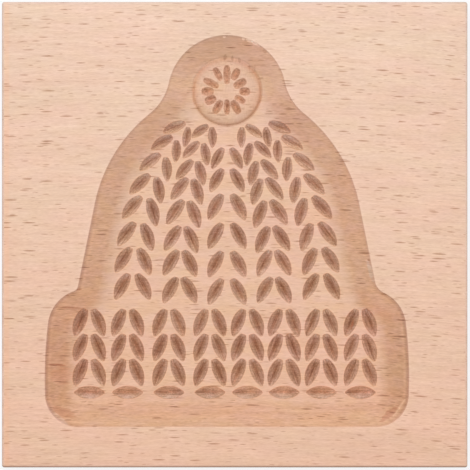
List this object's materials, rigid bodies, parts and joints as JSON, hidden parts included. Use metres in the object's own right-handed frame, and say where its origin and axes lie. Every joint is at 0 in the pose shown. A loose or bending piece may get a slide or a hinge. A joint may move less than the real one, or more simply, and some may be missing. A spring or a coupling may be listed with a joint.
{
  "type": "wooden cookie mould",
  "caption": "Square beech cookie mould with a slope-sided pocket shaped like a knitted bobble hat, its floor carved with leaf-shaped stitches.",
  "frame": {"origin": "middle of the flat underside", "axes": "+Z out of the face with the pocket, +Y from the hat's brim to its bobble, +X along the grain"},
  "size_m": [0.12, 0.12, 0.02],
  "materials": {
    "beech": "bare planed and sanded beech, with the grain across the hat"
  },
  "bodies": {
    "root": {"mould_board": "beech"}
  },
  "joints": []
}
